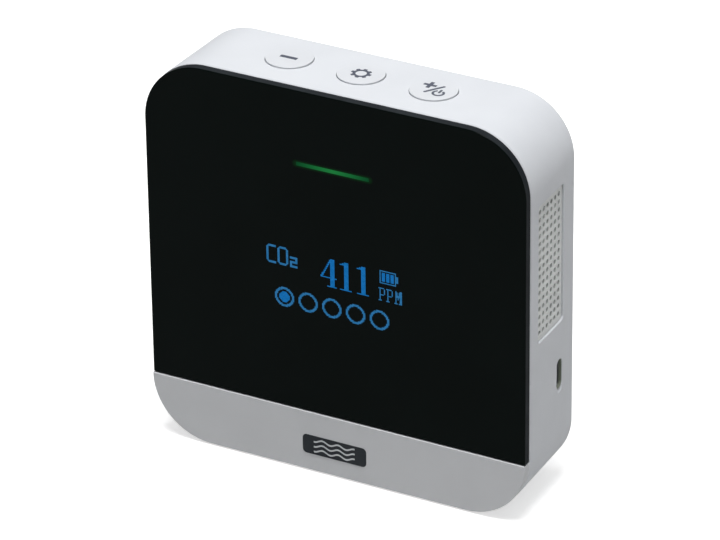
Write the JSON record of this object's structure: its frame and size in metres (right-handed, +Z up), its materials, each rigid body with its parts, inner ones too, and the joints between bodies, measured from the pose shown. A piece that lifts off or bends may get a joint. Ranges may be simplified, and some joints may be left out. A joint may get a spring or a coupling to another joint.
{
  "type": "air quality monitor",
  "caption": "Square desk air quality monitor with a black display front, a lit bar, side air vents and press buttons on top.",
  "frame": {"origin": "on the ground, under the centre of the bounding box", "axes": "+Z up, the display faces -Y, +X is to the right of someone who looks at the display"},
  "size_m": [0.118, 0.032, 0.1187],
  "materials": {
    "white_plastic": "fine satin moulding",
    "grey_plastic": "fine satin moulding",
    "black_acrylic": "polished",
    "green_diffuser": "lit diffuser",
    "dark_plastic": "matt",
    "display_glass": "polished",
    "circuit_board": "solder mask",
    "steel": "plated",
    "gold_plate": "gold-plated",
    "chip_black": "matt",
    "led_white": "matt",
    "battery_wrap": "film wrap",
    "rubber": "matt",
    "ribbon_film": "film"
  },
  "bodies": {
    "case": {"housing_shell": "white_plastic", "rear_cover": "white_plastic", "vent_grille_left": "white_plastic", "vent_grille_right": "white_plastic", "bottom_trim": "grey_plastic", "front_panel": "black_acrylic", "light_guide": "green_diffuser", "front_frame": "dark_plastic", "buzzer": "dark_plastic", "display_glass": "display_glass", "display_board": "circuit_board", "led_board": "circuit_board", "main_board": "circuit_board", "co2_board": "circuit_board", "usb_shell": "steel", "wireless_module": "steel", "case_screw_1": "steel", "case_screw_2": "steel", "case_screw_3": "steel", "case_screw_4": "steel", "board_screw_1": "steel", "board_screw_2": "steel", "board_screw_3": "steel", "board_screw_4": "steel", "co2_chamber": "gold_plate", "switch_body_left": "chip_black", "switch_body_middle": "chip_black", "switch_body_right": "chip_black", "usb_tongue": "chip_black", "microcontroller": "chip_black", "climate_sensor": "chip_black", "led_left": "led_white", "led_middle": "led_white", "led_right": "led_white", "battery_socket": "led_white", "battery": "battery_wrap", "foot_1": "rubber", "foot_2": "rubber", "foot_3": "rubber", "foot_4": "rubber", "battery_lead": "rubber", "display_ribbon": "ribbon_film"},
    "button_left": {"button_cap_left": "white_plastic", "switch_plunger_left": "dark_plastic"},
    "button_middle": {"button_cap_middle": "white_plastic", "switch_plunger_middle": "dark_plastic"},
    "button_right": {"button_cap_right": "white_plastic", "switch_plunger_right": "dark_plastic"}
  },
  "joints": [
    {"name": "button_left_press", "type": "slide", "parent": "case", "child": "button_left", "axis": [0, 0, -1], "range_m": [0, 0.0005], "stiffness_N_per_m": 900},
    {"name": "button_middle_press", "type": "slide", "parent": "case", "child": "button_middle", "axis": [0, 0, -1], "range_m": [0, 0.0005], "stiffness_N_per_m": 900},
    {"name": "button_right_press", "type": "slide", "parent": "case", "child": "button_right", "axis": [0, 0, -1], "range_m": [0, 0.0005], "stiffness_N_per_m": 900}
  ]
}
